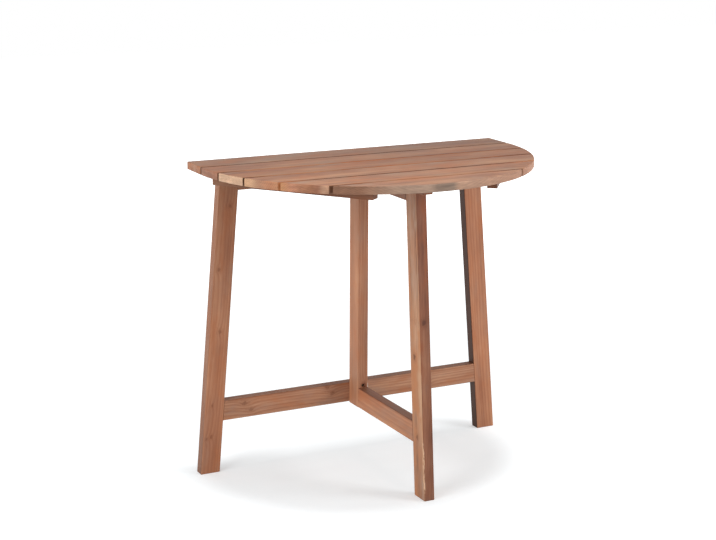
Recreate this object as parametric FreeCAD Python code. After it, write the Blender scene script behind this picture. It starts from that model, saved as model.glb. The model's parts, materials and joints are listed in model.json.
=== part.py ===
import FreeCAD, Part
import math
import os

Vec = FreeCAD.Vector

# Table top: one fixed slat at the back, and a half-round leaf of slats hinged in front of it
TABLE_HEIGHT = 735.0
SLAT_THICKNESS = 18.0
REAR_SLAT_WIDTH = 82.0
LEAF_SLAT_COUNT = 5
LEAF_SLAT_WIDTH = 75.0
LEAF_SLAT_GAP = 6.0
HINGE_LINE_GAP = 6.0
SLAT_EDGE_RADIUS = 2.0

# Rear frame: two splayed legs with a rail and a stretcher between them
FRAME_THICKNESS = 26.0
LEG_WIDTH = 48.0
LEG_SPLAY_SHARE = 0.084
FOOT_HALF_SPAN = 400.0
FRAME_INSET = 52.0
UPPER_RAIL_DEPTH = 48.0
STRETCHER_DEPTH = 48.0
STRETCHER_LIFT = 125.0
ARRIS_RADIUS = 2.0

# Gate: a post, two rails and one splayed leg that swing together under the leaf
GATE_THICKNESS = 26.0
GATE_WIDTH = 48.0
GATE_SPLAY_SHARE = 0.084
GATE_UPPER_RAIL_DEPTH = 47.0
GATE_LOWER_RAIL_DEPTH = 48.0
GATE_LIFT = 124.0
GATE_BACK_CLEARANCE = 0.5
GATE_SEAT_CLEARANCE = 0.3

# Battens and stop block under the leaf
BATTEN_WIDTH = 22.0
BATTEN_THICKNESS = 15.0
BATTEN_HINGE_ROOM = 22.0
BATTEN_REAR_INSET = 6.5
BATTEN_FRONT_INSET = 15.5
BATTEN_FRONT_HALF_SPAN = 152.0
BATTEN_SWING_CLEARANCE = 1.5
BATTEN_END_RADIUS = 3.0
STOP_WIDTH = 24.0
STOP_LENGTH = 28.0
STOP_HEIGHT = 22.0
STOP_CLEARANCE = 1.5

# Butt hinges
PLATE_THICKNESS = 1.5
PLATE_CORNER_RADIUS = 3.0
KNUCKLE_RADIUS = 3.0
KNUCKLE_CLEARANCE = 0.3
PIN_RADIUS = 1.7
PIN_CLEARANCE = 0.05
LEAF_HINGE_LENGTH = 46.0
LEAF_PLATE_WIDTH = 24.0
LEAF_HINGE_END_INSET = 14.0
GATE_HINGE_LENGTH = 36.0
GATE_PLATE_WIDTH = 21.0

# Dowels and screws
DOWEL_RADIUS = 4.0
DOWEL_LENGTH = 36.0
DOWEL_SPACING = 24.0
DOWEL_END_ROOM = 1.0
FASTENER_CLEARANCE = 0.05
PLATE_SCREW_HEAD_RADIUS = 2.8
PLATE_SCREW_SHANK_RADIUS = 1.4
PLATE_SCREW_LENGTH = 12.0
WOOD_SCREW_HEAD_RADIUS = 3.6
WOOD_SCREW_SHANK_RADIUS = 1.9
WOOD_SCREW_BITE = 10.0
REAR_SCREW_RECESS = 22.0
POST_SCREW_BORE_RADIUS = 4.0
POST_SCREW_RISE = 5.5
POST_SCREW_RECESS = 7.0
POST_SCREW_LENGTH = 32.0
REAR_SCREW_SHARES = (-0.8, -0.27, 0.27, 0.8)
STOP_SCREW_SHARES = (0.27, 0.73)
PLATE_SCREW_ALONG_SHARES = (0.2, 0.8)
PLATE_SCREW_ACROSS_SHARE = 0.6

# Cuts run past the faces that they open
OVERRUN = 5.0

# Heights and depths that the pieces share
LEAF_RADIUS = LEAF_SLAT_COUNT * LEAF_SLAT_WIDTH + (LEAF_SLAT_COUNT - 1) * LEAF_SLAT_GAP
TABLE_DEPTH = REAR_SLAT_WIDTH + HINGE_LINE_GAP + LEAF_RADIUS
REAR_Y = TABLE_DEPTH / 2
REAR_SLAT_FRONT_Y = REAR_Y - REAR_SLAT_WIDTH
LEAF_EDGE_Y = REAR_SLAT_FRONT_Y - HINGE_LINE_GAP
UNDERSIDE_Z = TABLE_HEIGHT - SLAT_THICKNESS
FRAME_FRONT_Y = REAR_Y - FRAME_INSET
FRAME_MID_Y = FRAME_FRONT_Y + FRAME_THICKNESS / 2
UPPER_RAIL_Z = UNDERSIDE_Z - UPPER_RAIL_DEPTH
STRETCHER_TOP_Z = STRETCHER_LIFT + STRETCHER_DEPTH

# The gate stands square to the frame, a little below the slats that rest on it
GATE_TOP_Z = UNDERSIDE_Z - GATE_SEAT_CLEARANCE
GATE_UPPER_RAIL_Z = GATE_TOP_Z - GATE_UPPER_RAIL_DEPTH
GATE_LOWER_RAIL_TOP_Z = GATE_LIFT + GATE_LOWER_RAIL_DEPTH
POST_REAR_Y = FRAME_FRONT_Y - GATE_BACK_CLEARANCE
POST_FRONT_Y = POST_REAR_Y - GATE_WIDTH

# Hinge axes stand off from the wood that they are screwed to
AXIS_STANDOFF = KNUCKLE_RADIUS + KNUCKLE_CLEARANCE
LEAF_AXIS_Y = LEAF_EDGE_Y + HINGE_LINE_GAP / 2
LEAF_AXIS_Z = UNDERSIDE_Z - AXIS_STANDOFF
LEAF_HINGE_CENTRE = LEAF_RADIUS - LEAF_HINGE_END_INSET - LEAF_HINGE_LENGTH / 2
GATE_AXIS_X = GATE_THICKNESS / 2 + AXIS_STANDOFF
GATE_AXIS_Y = FRAME_FRONT_Y - AXIS_STANDOFF

# The outer lower edge of the right batten runs from near the leaf hinge to near the front of the rim
BATTEN_Z = UNDERSIDE_Z - BATTEN_THICKNESS
BATTEN_REAR_Y = LEAF_AXIS_Y - LEAF_PLATE_WIDTH - BATTEN_HINGE_ROOM
BATTEN_REAR_X = math.sqrt((LEAF_RADIUS - BATTEN_REAR_INSET) ** 2 - (LEAF_EDGE_Y - BATTEN_REAR_Y) ** 2)
BATTEN_FRONT_DROP = math.sqrt((LEAF_RADIUS - BATTEN_FRONT_INSET) ** 2 - BATTEN_FRONT_HALF_SPAN ** 2)
BATTEN_REAR = Vec(BATTEN_REAR_X, BATTEN_REAR_Y, BATTEN_Z)
BATTEN_FRONT = Vec(BATTEN_FRONT_HALF_SPAN, LEAF_EDGE_Y - BATTEN_FRONT_DROP, BATTEN_Z)
BATTEN_LENGTH = (BATTEN_FRONT - BATTEN_REAR).Length
BATTEN_FORWARD = (BATTEN_FRONT - BATTEN_REAR).normalize()
BATTEN_INWARD = Vec(BATTEN_FORWARD.y, -BATTEN_FORWARD.x, 0)

# The gate reaches as far as it can and still swing past the batten
BATTEN_TO_AXIS = (Vec(GATE_AXIS_X, GATE_AXIS_Y, BATTEN_Z) - BATTEN_REAR).dot(BATTEN_INWARD)
GATE_SWING = BATTEN_TO_AXIS - BATTEN_WIDTH - BATTEN_SWING_CLEARANCE
GATE_CORNER_X = GATE_AXIS_X + GATE_THICKNESS / 2
GATE_LEG_AT_BATTEN_Y = GATE_AXIS_Y - math.sqrt(GATE_SWING ** 2 - GATE_CORNER_X ** 2)
GATE_FOOT_Y = GATE_LEG_AT_BATTEN_Y - GATE_SPLAY_SHARE * BATTEN_Z


def leg_outer_x(height):
    """Outer face of the right leg at a height above the floor."""
    return FOOT_HALF_SPAN - LEG_SPLAY_SHARE * height


def leg_inner_x(height):
    """Inner face of the right leg at a height above the floor."""
    return leg_outer_x(height) - LEG_WIDTH


def gate_leg_outer_y(height):
    """Front face of the gate's leg at a height above the floor."""
    return GATE_FOOT_Y + GATE_SPLAY_SHARE * height


def gate_leg_inner_y(height):
    """Rear face of the gate's leg at a height above the floor."""
    return gate_leg_outer_y(height) + GATE_WIDTH


def swing_radius(height):
    """Circle that the gate's far corner draws about the gate's axis at a height."""
    return math.hypot(GATE_CORNER_X, GATE_AXIS_Y - gate_leg_outer_y(height))


def prism(points, sweep):
    """Straight-sided solid from a closed outline."""
    face = Part.Face(Part.makePolygon(points + points[:1]))
    return face.extrude(sweep)


def frame_board(outline):
    """Board of the rear frame, from an outline of x and z."""
    points = [Vec(x, FRAME_FRONT_Y, z) for x, z in outline]
    return prism(points, Vec(0, FRAME_THICKNESS, 0))


def gate_board(outline):
    """Board of the gate, from an outline of y and z."""
    points = [Vec(-GATE_THICKNESS / 2, y, z) for y, z in outline]
    return prism(points, Vec(GATE_THICKNESS, 0, 0))


def edge_way(edge):
    """Unit direction from one end of an edge to the other."""
    ends = [vertex.Point for vertex in edge.Vertexes]
    return (ends[-1] - ends[0]).normalize()


def lies_along(edge, way):
    """True where an edge runs along a direction."""
    return abs(edge_way(edge).dot(way)) > math.cos(math.radians(1))


def eased_along(board, way):
    """Board with its long arrises rounded."""
    unit = Vec(way).normalize()
    edges = [edge for edge in board.Edges if lies_along(edge, unit)]
    return board.makeFillet(ARRIS_RADIUS, edges)


def eased_leg(leg, way):
    """Leg with its long arrises and the rim of its foot rounded."""
    unit = Vec(way).normalize()
    foot_z = leg.BoundBox.ZMin
    edges = []
    for edge in leg.Edges:
        at_foot = edge.BoundBox.ZMax - foot_z < ARRIS_RADIUS
        if at_foot or lies_along(edge, unit):
            edges.append(edge)
    return leg.makeFillet(ARRIS_RADIUS, edges)


def eased_slat(slat):
    """Slat with its upper and lower edges rounded."""
    edges = [edge for edge in slat.Edges if not lies_along(edge, Vec(0, 0, 1))]
    return slat.makeFillet(SLAT_EDGE_RADIUS, edges)


def turned(base, way, profile):
    """Solid turned about an axis, from a profile of radius and distance along it."""
    side = Vec(0, 0, 1) if abs(way.z) < abs(way.x) + abs(way.y) else Vec(1, 0, 0)
    points = [base + side * radius + way * along for radius, along in profile]
    face = Part.Face(Part.makePolygon(points + points[:1]))
    return face.revolve(base, way, 360)


def drilled(solid, cutters):
    """Solid with each cutter taken out of it."""
    return solid.cut(Part.makeCompound(cutters)) if cutters else solid


class Screw:
    """Countersunk screw, with the hole that it needs."""

    def __init__(self, head, way, length, head_radius, shank_radius):
        neck = head_radius - shank_radius
        tip = length - shank_radius * 2
        self.solid = turned(head, way, [
            (0, 0), (head_radius, 0), (shank_radius, neck), (shank_radius, tip), (0, length),
        ])
        room = FASTENER_CLEARANCE
        self.hole = turned(head, way, [
            (0, -OVERRUN), (head_radius + room, -OVERRUN), (head_radius + room, 0),
            (shank_radius + room, neck), (shank_radius + room, tip), (0, length + room),
        ])


def plate_screw(head, way):
    """Small screw of a hinge plate."""
    return Screw(head, way, PLATE_SCREW_LENGTH, PLATE_SCREW_HEAD_RADIUS, PLATE_SCREW_SHANK_RADIUS)


def wood_screw(head, way, length):
    """Screw that holds two pieces of wood together."""
    return Screw(head, way, length, WOOD_SCREW_HEAD_RADIUS, WOOD_SCREW_SHANK_RADIUS)


def dowel_pair(joint, way):
    """Two dowels across a joint, one above the other, and the holes that hold them."""
    dowels, holes = [], []
    for side in (-1, 1):
        middle = joint + Vec(0, 0, side * DOWEL_SPACING / 2)
        start = middle - way * (DOWEL_LENGTH / 2)
        dowels.append(turned(start, way, [
            (0, 0), (DOWEL_RADIUS, 0), (DOWEL_RADIUS, DOWEL_LENGTH), (0, DOWEL_LENGTH),
        ]))
        wide = DOWEL_RADIUS + FASTENER_CLEARANCE
        ends = (-DOWEL_END_ROOM, DOWEL_LENGTH + DOWEL_END_ROOM)
        holes.append(turned(start, way, [(0, ends[0]), (wide, ends[0]), (wide, ends[1]), (0, ends[1])]))
    return dowels, holes


class Hinge:
    """Butt hinge with a fixed plate, a moving plate and a pin, built about its axis."""

    def __init__(self, start, way, length, plate_width, fixed, moving):
        self.start = start
        self.way = way
        self.length = length
        self.plate_width = plate_width
        pitch = (length + KNUCKLE_CLEARANCE) / 3
        spans = [(step * pitch, (step + 1) * pitch - KNUCKLE_CLEARANCE) for step in range(3)]
        self.fixed_screws = self.screws(*fixed)
        self.moving_screws = self.screws(*moving)
        self.fixed_plate = self.plate(fixed, spans[::2], self.fixed_screws)
        self.moving_plate = self.plate(moving, spans[1:2], self.moving_screws)
        self.pin = Part.makeCylinder(PIN_RADIUS, length, start, way)

    def screws(self, out, wood):
        """Screws of the plate that runs out from the axis and lies against the wood."""
        face = AXIS_STANDOFF - PLATE_THICKNESS
        across = out * (self.plate_width * PLATE_SCREW_ACROSS_SHARE)
        heads = []
        for share in PLATE_SCREW_ALONG_SHARES:
            along = self.way * (self.length * share)
            heads.append(plate_screw(self.start + along + across + wood * face, wood))
        return heads

    def plate(self, side, spans, screws):
        """Plate with its own knuckles, bored for the pin and countersunk for its screws."""
        out, wood = side
        face = wood * (AXIS_STANDOFF - PLATE_THICKNESS)
        depth = wood * PLATE_THICKNESS
        inner = out * AXIS_STANDOFF
        reach = out * (self.plate_width - AXIS_STANDOFF)
        base = self.start + face
        flat = self.slab(base + inner, reach, self.way * self.length, depth)
        far = base + out * self.plate_width + depth * 0.5
        corners = [edge for edge in flat.Edges
                   if lies_along(edge, wood) and abs((edge.CenterOfMass - far).dot(out)) < KNUCKLE_CLEARANCE]
        pieces = [flat.makeFillet(PLATE_CORNER_RADIUS, corners)]
        for low, high in spans:
            rise = self.way * (high - low)
            pieces.append(self.slab(base + self.way * low, inner, rise, depth))
            pieces.append(Part.makeCylinder(KNUCKLE_RADIUS, high - low, self.start + self.way * low, self.way))
        body = pieces[0].multiFuse(pieces[1:]).removeSplitter()
        bore_start = self.start - self.way * OVERRUN
        bore = Part.makeCylinder(PIN_RADIUS + PIN_CLEARANCE, self.length + 2 * OVERRUN, bore_start, self.way)
        return drilled(body, [bore] + [screw.hole for screw in screws])

    @staticmethod
    def slab(corner, first, second, depth):
        """Flat block from a corner and its three edges."""
        return prism([corner, corner + first, corner + first + second, corner + second], depth)


def make_leaf_hinge(side):
    """Hinge between the rear slat and the leaf, near the left or right end of their gap."""
    start = Vec(side * LEAF_HINGE_CENTRE - LEAF_HINGE_LENGTH / 2, LEAF_AXIS_Y, LEAF_AXIS_Z)
    up = Vec(0, 0, 1)
    return Hinge(start, Vec(1, 0, 0), LEAF_HINGE_LENGTH, LEAF_PLATE_WIDTH,
                 (Vec(0, 1, 0), up), (Vec(0, -1, 0), up))


def make_gate_hinge(middle_z):
    """Hinge between the rear frame and the gate's post."""
    start = Vec(GATE_AXIS_X, GATE_AXIS_Y, middle_z - GATE_HINGE_LENGTH / 2)
    return Hinge(start, Vec(0, 0, 1), GATE_HINGE_LENGTH, GATE_PLATE_WIDTH,
                 (Vec(1, 0, 0), Vec(0, 1, 0)), (Vec(0, -1, 0), Vec(-1, 0, 0)))


def make_leg(side, holes):
    """Splayed rear leg on the left or right."""
    top = UNDERSIDE_Z
    outline = [
        (side * leg_inner_x(0), 0), (side * leg_outer_x(0), 0),
        (side * leg_outer_x(top), top), (side * leg_inner_x(top), top),
    ]
    way = Vec(-side * LEG_SPLAY_SHARE, 0, 1)
    return drilled(eased_leg(frame_board(outline), way), holes)


def make_cross_rail(low, high, holes):
    """Rail between the rear legs, its ends cut to their slope."""
    outline = [
        (-leg_inner_x(low), low), (leg_inner_x(low), low),
        (leg_inner_x(high), high), (-leg_inner_x(high), high),
    ]
    return drilled(eased_along(frame_board(outline), Vec(1, 0, 0)), holes)


def make_frame_dowels():
    """Dowels of the rear frame, with the holes at each end of each rail."""
    dowels, holes = [], []
    for low, high in ((UPPER_RAIL_Z, UNDERSIDE_Z), (STRETCHER_LIFT, STRETCHER_TOP_Z)):
        middle = (low + high) / 2
        for side in (-1, 1):
            joint = Vec(side * leg_inner_x(middle), FRAME_MID_Y, middle)
            pair, pair_holes = dowel_pair(joint, Vec(1, 0, 0))
            dowels += pair
            holes += pair_holes
    return dowels, holes


def make_rear_screws():
    """Screws that run up through the upper rail into the rear slat, in deep bores."""
    head_z = UPPER_RAIL_Z + REAR_SCREW_RECESS
    length = UNDERSIDE_Z + WOOD_SCREW_BITE - head_z
    screws, bores = [], []
    for share in REAR_SCREW_SHARES:
        x = share * leg_inner_x(UNDERSIDE_Z)
        screws.append(wood_screw(Vec(x, FRAME_MID_Y, head_z), Vec(0, 0, 1), length))
        mouth = Vec(x, FRAME_MID_Y, UPPER_RAIL_Z - OVERRUN)
        wide = WOOD_SCREW_HEAD_RADIUS + FASTENER_CLEARANCE
        bores.append(Part.makeCylinder(wide, REAR_SCREW_RECESS + OVERRUN, mouth, Vec(0, 0, 1)))
    return screws, bores


def make_rear_slat(holes):
    """Fixed slat along the back, straight at both ends."""
    corner = Vec(-LEAF_RADIUS, REAR_SLAT_FRONT_Y, UNDERSIDE_Z)
    slat = Part.makeBox(2 * LEAF_RADIUS, REAR_SLAT_WIDTH, SLAT_THICKNESS, corner)
    return drilled(slat.makeFillet(SLAT_EDGE_RADIUS, slat.Edges), holes)


def make_leaf_slat(number, holes):
    """Slat of the half-round leaf, counted from the hinge line."""
    rear = number * (LEAF_SLAT_WIDTH + LEAF_SLAT_GAP)
    front = rear + LEAF_SLAT_WIDTH

    def rim(drop, side):
        across = math.sqrt(max(LEAF_RADIUS ** 2 - drop ** 2, 0))
        return Vec(side * across, LEAF_EDGE_Y - drop, UNDERSIDE_Z)

    middle = (rear + front) / 2
    rear_line = Part.makeLine(rim(rear, -1), rim(rear, 1))
    if number == LEAF_SLAT_COUNT - 1:
        edges = [rear_line, Part.Arc(rim(rear, 1), rim(front, 1), rim(rear, -1)).toShape()]
    else:
        edges = [
            rear_line,
            Part.Arc(rim(rear, 1), rim(middle, 1), rim(front, 1)).toShape(),
            Part.makeLine(rim(front, 1), rim(front, -1)),
            Part.Arc(rim(front, -1), rim(middle, -1), rim(rear, -1)).toShape(),
        ]
    slat = Part.Face(Part.Wire(edges)).extrude(Vec(0, 0, SLAT_THICKNESS))
    return drilled(eased_slat(slat), holes)


def mirrored(way, side):
    """Point or direction on the right, taken over to the left where side is -1."""
    return Vec(side * way.x, way.y, way.z)


def make_batten(side, holes):
    """Slanting batten that ties the leaf's slats together, with its lower ends rounded."""
    rear = mirrored(BATTEN_REAR, side)
    front = mirrored(BATTEN_FRONT, side)
    inward = mirrored(BATTEN_INWARD, side)
    across = inward * BATTEN_WIDTH
    batten = prism([rear, front, front + across, rear + across], Vec(0, 0, BATTEN_THICKNESS))
    ends = [edge for edge in batten.Edges
            if lies_along(edge, inward) and edge.CenterOfMass.z < BATTEN_Z + BATTEN_THICKNESS / 2]
    batten = batten.makeFillet(BATTEN_END_RADIUS, ends)
    return drilled(batten, holes)


def make_batten_screws(side):
    """One screw from each batten up into each slat that it crosses."""
    forward = mirrored(BATTEN_FORWARD, side)
    middle = mirrored(BATTEN_REAR + BATTEN_INWARD * (BATTEN_WIDTH / 2), side)
    first = middle + forward * BATTEN_WIDTH
    last = middle + forward * (BATTEN_LENGTH - BATTEN_WIDTH)
    screws = []
    for number in range(LEAF_SLAT_COUNT):
        slat_rear = LEAF_EDGE_Y - number * (LEAF_SLAT_WIDTH + LEAF_SLAT_GAP)
        high = min(slat_rear, first.y)
        low = max(slat_rear - LEAF_SLAT_WIDTH, last.y)
        head = middle + forward * (((high + low) / 2 - middle.y) / forward.y)
        screws.append(wood_screw(head, Vec(0, 0, 1), BATTEN_THICKNESS + WOOD_SCREW_BITE))
    return screws


STOP_REAR_Y = GATE_AXIS_Y - swing_radius(UNDERSIDE_Z - STOP_HEIGHT) - STOP_CLEARANCE


def make_stop_block(holes):
    """Small block under the leaf, just in front of the gate's leg."""
    corner = Vec(-STOP_WIDTH / 2, STOP_REAR_Y - STOP_LENGTH, UNDERSIDE_Z - STOP_HEIGHT)
    block = Part.makeBox(STOP_WIDTH, STOP_LENGTH, STOP_HEIGHT, corner)
    edges = [edge for edge in block.Edges if edge.BoundBox.ZMin < UNDERSIDE_Z - STOP_HEIGHT / 2]
    return drilled(block.makeFillet(ARRIS_RADIUS, edges), holes)


def make_stop_screws():
    """Screws that hold the stop block to its slat."""
    screws = []
    for share in STOP_SCREW_SHARES:
        head = Vec(0, STOP_REAR_Y - share * STOP_LENGTH, UNDERSIDE_Z - STOP_HEIGHT)
        screws.append(wood_screw(head, Vec(0, 0, 1), STOP_HEIGHT + WOOD_SCREW_BITE))
    return screws


def make_gate_post(holes):
    """Upright of the gate on the hinge side, clear of the floor."""
    outline = [
        (POST_FRONT_Y, GATE_LIFT), (POST_REAR_Y, GATE_LIFT),
        (POST_REAR_Y, GATE_TOP_Z), (POST_FRONT_Y, GATE_TOP_Z),
    ]
    return drilled(eased_along(gate_board(outline), Vec(0, 0, 1)), holes)


def make_gate_leg(holes):
    """Splayed leg of the gate, down to the floor."""
    top = GATE_TOP_Z
    outline = [
        (gate_leg_outer_y(0), 0), (gate_leg_inner_y(0), 0),
        (gate_leg_inner_y(top), top), (gate_leg_outer_y(top), top),
    ]
    return drilled(eased_leg(gate_board(outline), Vec(0, GATE_SPLAY_SHARE, 1)), holes)


def make_gate_rail(low, high, holes):
    """Rail of the gate, from its post to its sloping leg."""
    outline = [
        (gate_leg_inner_y(low), low), (POST_FRONT_Y, low),
        (POST_FRONT_Y, high), (gate_leg_inner_y(high), high),
    ]
    return drilled(eased_along(gate_board(outline), Vec(0, 1, 0)), holes)


def make_gate_dowels():
    """Dowels of the gate, with the holes at each end of each rail."""
    dowels, holes = [], []
    for low, high in ((GATE_UPPER_RAIL_Z, GATE_TOP_Z), (GATE_LIFT, GATE_LOWER_RAIL_TOP_Z)):
        middle = (low + high) / 2
        for y in (POST_FRONT_Y, gate_leg_inner_y(middle)):
            pair, pair_holes = dowel_pair(Vec(0, y, middle), Vec(0, 1, 0))
            dowels += pair
            holes += pair_holes
    return dowels, holes


def make_post_screw():
    """Screw sunk in a bore in the post's front face, just above the lower rail."""
    z = GATE_LOWER_RAIL_TOP_Z + POST_SCREW_RISE
    head = Vec(0, POST_FRONT_Y + POST_SCREW_RECESS, z)
    screw = wood_screw(head, Vec(0, 1, 0), POST_SCREW_LENGTH)
    mouth = Vec(0, POST_FRONT_Y - OVERRUN, z)
    bore = Part.makeCylinder(POST_SCREW_BORE_RADIUS, POST_SCREW_RECESS + OVERRUN, mouth, Vec(0, 1, 0))
    return screw, bore


def solids_of(screws):
    """The screws themselves, as one group."""
    return Part.makeCompound([screw.solid for screw in screws])


def holes_of(screws):
    """The holes that the screws need."""
    return [screw.hole for screw in screws]


def build():
    """Every piece of the table, by name."""
    leaf_hinges = {"left": make_leaf_hinge(-1), "right": make_leaf_hinge(1)}
    gate_hinges = {
        "upper": make_gate_hinge((UPPER_RAIL_Z + UNDERSIDE_Z) / 2),
        "lower": make_gate_hinge((STRETCHER_LIFT + STRETCHER_TOP_Z) / 2),
    }
    nodes = {}
    slat_fixed, slat_moving, frame_plate, gate_plate = [], [], [], []
    for name, hinge in leaf_hinges.items():
        nodes[name + "_leaf_hinge_fixed_plate"] = hinge.fixed_plate
        nodes[name + "_leaf_hinge_moving_plate"] = hinge.moving_plate
        nodes[name + "_leaf_hinge_pin"] = hinge.pin
        slat_fixed += hinge.fixed_screws
        slat_moving += hinge.moving_screws
    for name, hinge in gate_hinges.items():
        nodes[name + "_gate_hinge_fixed_plate"] = hinge.fixed_plate
        nodes[name + "_gate_hinge_moving_plate"] = hinge.moving_plate
        nodes[name + "_gate_hinge_pin"] = hinge.pin
        frame_plate += hinge.fixed_screws
        gate_plate += hinge.moving_screws

    frame_dowels, frame_holes = make_frame_dowels()
    rear_screws, rear_bores = make_rear_screws()
    rear_holes = holes_of(rear_screws)
    nodes["left_leg"] = make_leg(-1, frame_holes)
    nodes["right_leg"] = make_leg(1, frame_holes)
    rail_holes = frame_holes + rear_holes + rear_bores + holes_of(frame_plate)
    nodes["upper_rail"] = make_cross_rail(UPPER_RAIL_Z, UNDERSIDE_Z, rail_holes)
    stretcher_holes = frame_holes + holes_of(frame_plate)
    nodes["lower_stretcher"] = make_cross_rail(STRETCHER_LIFT, STRETCHER_TOP_Z, stretcher_holes)
    nodes["rear_slat"] = make_rear_slat(rear_holes + holes_of(slat_fixed))
    nodes["frame_dowels"] = Part.makeCompound(frame_dowels)
    nodes["rear_slat_screws"] = solids_of(rear_screws)
    nodes["frame_hinge_screws"] = solids_of(slat_fixed + frame_plate)

    batten_screws = {side: make_batten_screws(side) for side in (-1, 1)}
    stop_screws = make_stop_screws()
    leaf_screws = batten_screws[-1] + batten_screws[1]
    leaf_holes = holes_of(leaf_screws + stop_screws + slat_moving)
    for number in range(LEAF_SLAT_COUNT):
        nodes["leaf_slat_%d" % (number + 1)] = make_leaf_slat(number, leaf_holes)
    nodes["left_batten"] = make_batten(-1, holes_of(batten_screws[-1]))
    nodes["right_batten"] = make_batten(1, holes_of(batten_screws[1]))
    nodes["stop_block"] = make_stop_block(holes_of(stop_screws))
    nodes["batten_screws"] = solids_of(leaf_screws)
    nodes["stop_block_screws"] = solids_of(stop_screws)
    nodes["leaf_hinge_screws"] = solids_of(slat_moving)

    gate_dowels, gate_holes = make_gate_dowels()
    post_screw, post_bore = make_post_screw()
    post_holes = gate_holes + holes_of(gate_plate) + [post_screw.hole, post_bore]
    nodes["gate_post"] = make_gate_post(post_holes)
    nodes["gate_leg"] = make_gate_leg(gate_holes)
    nodes["gate_upper_rail"] = make_gate_rail(GATE_UPPER_RAIL_Z, GATE_TOP_Z, gate_holes)
    nodes["gate_lower_rail"] = make_gate_rail(GATE_LIFT, GATE_LOWER_RAIL_TOP_Z, gate_holes)
    nodes["gate_dowels"] = Part.makeCompound(gate_dowels)
    nodes["post_screw"] = post_screw.solid
    nodes["gate_hinge_screws"] = solids_of(gate_plate)
    return nodes


os.makedirs("parts", exist_ok=True)
for node, shape in build().items():
    shape.exportStep("parts/%s.step" % node)
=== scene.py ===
import json
import math
from dataclasses import dataclass

import bmesh
import bpy
from mathutils import Matrix, Vector

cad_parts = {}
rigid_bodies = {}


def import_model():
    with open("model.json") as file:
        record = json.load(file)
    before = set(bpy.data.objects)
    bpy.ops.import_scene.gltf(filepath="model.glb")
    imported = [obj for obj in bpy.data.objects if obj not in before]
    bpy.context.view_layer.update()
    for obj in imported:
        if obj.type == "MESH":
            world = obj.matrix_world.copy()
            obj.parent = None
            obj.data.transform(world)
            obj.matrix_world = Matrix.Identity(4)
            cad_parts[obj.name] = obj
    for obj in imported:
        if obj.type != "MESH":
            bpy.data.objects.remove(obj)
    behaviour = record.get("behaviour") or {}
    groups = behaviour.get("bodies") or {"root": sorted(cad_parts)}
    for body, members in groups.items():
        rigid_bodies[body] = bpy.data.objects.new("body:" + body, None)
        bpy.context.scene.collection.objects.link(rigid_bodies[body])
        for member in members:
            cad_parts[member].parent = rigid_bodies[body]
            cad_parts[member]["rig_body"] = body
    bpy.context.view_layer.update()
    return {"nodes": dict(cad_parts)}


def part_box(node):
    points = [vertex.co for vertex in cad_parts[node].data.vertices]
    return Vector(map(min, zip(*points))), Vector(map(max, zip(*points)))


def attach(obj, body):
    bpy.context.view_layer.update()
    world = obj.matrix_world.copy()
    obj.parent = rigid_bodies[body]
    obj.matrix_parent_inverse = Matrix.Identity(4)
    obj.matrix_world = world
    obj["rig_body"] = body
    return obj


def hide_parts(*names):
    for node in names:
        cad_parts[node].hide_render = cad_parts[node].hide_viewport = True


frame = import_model()
NODES = frame["nodes"]

# Everything is in metres, with the row's axes: X along the top, Y towards the back, Z up.

# Camera, set to the photograph's viewing angle.
CAMERA_PLACE = Vector((-1.7136, -3.1949, 1.3704))
CAMERA_YAW = 0.4708
CAMERA_PITCH = -0.2376
CAMERA_ROLL = 0.0043
CAMERA_LENS = 82.41
SENSOR_WIDTH = 36.0

# Studio.
FLOOR_HALF_SIZE = 9.0
FLOOR_REFLECTANCE = 0.78
FLOOR_DULL_REFLECTANCE = 0.7722
FLOOR_SEEN_TINT = (0.915, 0.965, 0.99, 1.0)
FLOOR_NEAR_GLOW = 0.40
FLOOR_FAR_GLOW = 1.0
FLOOR_GLOW_NEAR = 0.9
FLOOR_GLOW_FAR = 3.0
WORLD_STRENGTH = 0.32

# Overhead lamp: direction, angular size and strength. Boxes: place, aim, size and power.
OVERHEAD = ((-0.035, 0.018, -1.0), math.radians(9.5), 1.33)
LEFT_BOX = ((-4.0, -1.7, 2.1), (0.0, 0.0, 0.4), (2.1, 2.1), 92.0)
RIGHT_BOX = ((2.6, -2.2, 1.4), (0.0, 0.0, 0.35), (1.4, 1.4), 66.0)

# Shading of the boards' rounded edges.
SMOOTH_ANGLE = math.radians(38)

# Edges of the boards: the rubbed arris, the sawn rim of the leaf with the painted shade and light in the
# gaps near it, and a chip.
EDGE_REACH = 0.0022
RIM_SHARE = 0.85
GAP_SHARE = 0.85
BEVEL_SAMPLES = 6
FACE_ALIKE = 0.995
EDGE_ALIKE = 0.90
RIM_INNER = 0.0019
RIM_OUTER = 0.0009
GAP_INNER = 0.07
GAP_OUTER = 0.02
SAWN_TONE = 0.4
SAWN_LOW = 0.35
SAWN_HIGH = 0.95
SAWN_PALE = 1.12
SAWN_DARK = 0.72
CHIP_REACH = 0.0024
CHIP_CORE = 0.6
CHIP_END = 0.004
CHIP_TORN_LOW = 0.42
CHIP_TORN_HIGH = 0.56
LEAF_CENTRE = Vector((0.0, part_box("leaf_slat_1")[1].y, 0.0))
LEAF_RADIUS = LEAF_CENTRE.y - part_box("leaf_slat_5")[0].y

# Screw heads.
RECESS_ARM_SHARE = 0.62
RECESS_WIDTH_SHARE = 0.17
RECESS_DEPTH_SHARE = 0.42
RECESS_ARM_TAPER = 0.72
RECESS_WIDTH_TAPER = 0.8
HEAD_SIDES = 32
ISLAND_MERGE = 1e-6
END_BAND_SHARE = 0.1


def linear(red, green, blue):
    """An 8-bit screen colour as linear light, with alpha."""
    def channel(value):
        share = value / 255
        if share <= 0.04045:
            return share / 12.92
        return ((share + 0.055) / 1.055) ** 2.4
    return channel(red), channel(green), channel(blue), 1.0


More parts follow.
